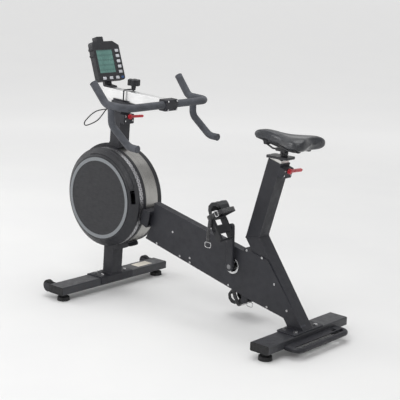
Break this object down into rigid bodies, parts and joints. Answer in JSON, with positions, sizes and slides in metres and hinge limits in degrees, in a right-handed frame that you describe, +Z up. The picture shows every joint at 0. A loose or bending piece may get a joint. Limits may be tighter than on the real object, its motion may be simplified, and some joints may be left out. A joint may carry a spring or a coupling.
{
  "type": "fan-braked indoor bike",
  "caption": "Stationary exercise bike with a shrouded fan flywheel at the front, belt drive along a slanted frame, drop handlebar, padded saddle and tilting monitor.",
  "frame": {"origin": "floor level, at the middle of the bounding box", "axes": "+X towards the rear, +Y towards the rider's right, +Z up"},
  "size_m": [1.36, 0.65, 1.1128],
  "materials": {
    "frame_paint": "fine textured powder coat",
    "bar_paint": "satin powder coat",
    "band_steel": "brushed",
    "mesh_steel": "satin",
    "bright_steel": "polished",
    "tool_steel": "machined",
    "aluminium": "satin anodised",
    "black_plastic": "fine grain",
    "disc_black": "horizontal grain",
    "rubber": "matt",
    "grip_foam": "soft grip",
    "belt_rubber": "ribbed",
    "seat_vinyl": "stitched",
    "strap_web": "woven",
    "red_plastic": "glossy",
    "key_rubber": "soft touch",
    "lcd_glass": "clear face",
    "resin": "moulded"
  },
  "bodies": {
    "frame": {"front_foot_bar": "bar_paint", "rear_foot_bar": "bar_paint", "feet_and_end_caps": "rubber", "wheel_brackets": "frame_paint", "lower_mast": "frame_paint", "upper_mast": "frame_paint", "hub_plate": "frame_paint", "seat_tube": "frame_paint", "rear_leg": "frame_paint", "main_beam": "frame_paint", "belt_case": "frame_paint", "crank_trim_ring": "bright_steel", "case_screws": "bright_steel", "base_bolts": "bright_steel", "lift_handle": "frame_paint", "drum_band": "band_steel", "far_cover": "black_plastic", "vent_mesh": "mesh_steel", "near_cover": "black_plastic", "centre_disc": "disc_black", "shaft_bearings": "tool_steel", "drive_belts": "belt_rubber", "lock_brackets": "frame_paint"},
    "left_wheel": {"left_wheel": "rubber"},
    "right_wheel": {"right_wheel": "rubber"},
    "damper": {"damper_slider": "black_plastic"},
    "flywheel": {"fan_wheel": "black_plastic", "flywheel_shaft": "tool_steel"},
    "jackshaft": {"jackshaft": "tool_steel"},
    "crank": {"crank_spindle": "tool_steel", "left_crank_arm": "frame_paint", "right_crank_arm": "frame_paint"},
    "left_pedal": {"left_pedal": "resin", "left_strap": "strap_web"},
    "right_pedal": {"right_pedal": "resin", "right_strap": "strap_web"},
    "bar_lever": {"bar_lever": "red_plastic"},
    "seat_lever": {"seat_lever": "red_plastic"},
    "seat_post": {"seat_post": "aluminium"},
    "saddle_clamp": {"saddle_clamp": "tool_steel"},
    "saddle": {"saddle": "seat_vinyl", "saddle_rails": "bright_steel"},
    "bar_post": {"bar_post": "frame_paint", "hold_down_rod": "frame_paint", "sensor_cable": "rubber"},
    "star_knob": {"star_knob": "black_plastic"},
    "slide_beam": {"slide_beam": "aluminium", "stem_clamp": "frame_paint", "handlebar": "grip_foam", "monitor_bracket": "black_plastic"},
    "monitor": {"monitor_housing": "black_plastic", "monitor_screen": "lcd_glass"},
    "side_key_1": {"side_key_1": "key_rubber"},
    "side_key_2": {"side_key_2": "key_rubber"},
    "side_key_3": {"side_key_3": "key_rubber"},
    "side_key_4": {"side_key_4": "key_rubber"},
    "side_key_5": {"side_key_5": "key_rubber"},
    "low_key_1": {"low_key_1": "key_rubber"},
    "low_key_2": {"low_key_2": "key_rubber"},
    "low_key_3": {"low_key_3": "key_rubber"}
  },
  "joints": [
    {"name": "flywheel_spin", "type": "hinge", "parent": "frame", "child": "flywheel", "pos_m": [-0.462, 0, 0.428], "axis": [0, 1, 0], "continuous": true},
    {"name": "jackshaft_spin", "type": "hinge", "parent": "frame", "child": "jackshaft", "pos_m": [-0.022, 0, 0.32311], "axis": [0, 1, 0], "continuous": true},
    {"name": "crank_spin", "type": "hinge", "parent": "frame", "child": "crank", "pos_m": [0.241, 0, 0.259], "axis": [0, 1, 0], "continuous": true},
    {"name": "left_pedal_spin", "type": "hinge", "parent": "crank", "child": "left_pedal", "pos_m": [0.241, -0.115, 0.424], "axis": [0, 1, 0], "continuous": true},
    {"name": "right_pedal_spin", "type": "hinge", "parent": "crank", "child": "right_pedal", "pos_m": [0.241, 0.115, 0.094], "axis": [0, 1, 0], "continuous": true},
    {"name": "left_wheel_spin", "type": "hinge", "parent": "frame", "child": "left_wheel", "pos_m": [-0.564, -0.3, 0.048], "axis": [0, 1, 0], "continuous": true},
    {"name": "right_wheel_spin", "type": "hinge", "parent": "frame", "child": "right_wheel", "pos_m": [-0.564, 0.3, 0.048], "axis": [0, 1, 0], "continuous": true},
    {"name": "damper_slide", "type": "hinge", "parent": "frame", "child": "damper", "pos_m": [-0.462, -0.1, 0.428], "axis": [0, 1, 0], "range_deg": [0, 16]},
    {"name": "seat_height", "type": "slide", "parent": "frame", "child": "seat_post", "axis": [0.2706, 0, 0.9627], "range_m": [0, 0.18]},
    {"name": "saddle_tilt", "type": "hinge", "parent": "seat_post", "child": "saddle_clamp", "pos_m": [0.442, 0, 0.742], "axis": [0, 1, 0], "range_deg": [-10, 10]},
    {"name": "saddle_slide", "type": "slide", "parent": "saddle_clamp", "child": "saddle", "axis": [1, 0, 0], "range_m": [-0.015, 0.015]},
    {"name": "seat_lever_turn", "type": "hinge", "parent": "frame", "child": "seat_lever", "pos_m": [0.445, 0, 0.68501], "axis": [0.9627, 0, -0.2706], "range_deg": [-70, 70]},
    {"name": "bar_height", "type": "slide", "parent": "frame", "child": "bar_post", "axis": [0.0471, 0, 0.9989], "range_m": [0, 0.07]},
    {"name": "bar_reach", "type": "slide", "parent": "bar_post", "child": "slide_beam", "axis": [0.9989, 0, -0.0471], "range_m": [-0.08, 0.05]},
    {"name": "bar_lever_turn", "type": "hinge", "parent": "frame", "child": "bar_lever", "pos_m": [-0.41717, 0, 0.78428], "axis": [0.9989, 0, -0.0471], "range_deg": [-70, 45]},
    {"name": "star_knob_turn", "type": "hinge", "parent": "bar_post", "child": "star_knob", "pos_m": [-0.40176, 0.03, 0.89868], "axis": [0.0471, 0, 0.9989], "range_deg": [-180, 180]},
    {"name": "monitor_tilt", "type": "hinge", "parent": "slide_beam", "child": "monitor", "pos_m": [-0.54204, 0, 0.94922], "axis": [0, 1, 0], "range_deg": [-20, 4]},
    {"name": "side_key_1_press", "type": "slide", "parent": "monitor", "child": "side_key_1", "axis": [-0.9478, 0, -0.319], "range_m": [0, 0.0015], "stiffness_N_per_m": 500},
    {"name": "side_key_2_press", "type": "slide", "parent": "monitor", "child": "side_key_2", "axis": [-0.9478, 0, -0.319], "range_m": [0, 0.0015], "stiffness_N_per_m": 500},
    {"name": "side_key_3_press", "type": "slide", "parent": "monitor", "child": "side_key_3", "axis": [-0.9478, 0, -0.319], "range_m": [0, 0.0015], "stiffness_N_per_m": 500},
    {"name": "side_key_4_press", "type": "slide", "parent": "monitor", "child": "side_key_4", "axis": [-0.9478, 0, -0.319], "range_m": [0, 0.0015], "stiffness_N_per_m": 500},
    {"name": "side_key_5_press", "type": "slide", "parent": "monitor", "child": "side_key_5", "axis": [-0.9478, 0, -0.319], "range_m": [0, 0.0015], "stiffness_N_per_m": 500},
    {"name": "low_key_1_press", "type": "slide", "parent": "monitor", "child": "low_key_1", "axis": [-0.9478, 0, -0.319], "range_m": [0, 0.0015], "stiffness_N_per_m": 500},
    {"name": "low_key_2_press", "type": "slide", "parent": "monitor", "child": "low_key_2", "axis": [-0.9478, 0, -0.319], "range_m": [0, 0.0015], "stiffness_N_per_m": 500},
    {"name": "low_key_3_press", "type": "slide", "parent": "monitor", "child": "low_key_3", "axis": [-0.9478, 0, -0.319], "range_m": [0, 0.0015], "stiffness_N_per_m": 500}
  ],
  "couplings": [
    {"joint": "jackshaft_spin", "follows": "flywheel_spin", "ratio": 0.66667},
    {"joint": "crank_spin", "follows": "flywheel_spin", "ratio": 0.14286}
  ]
}
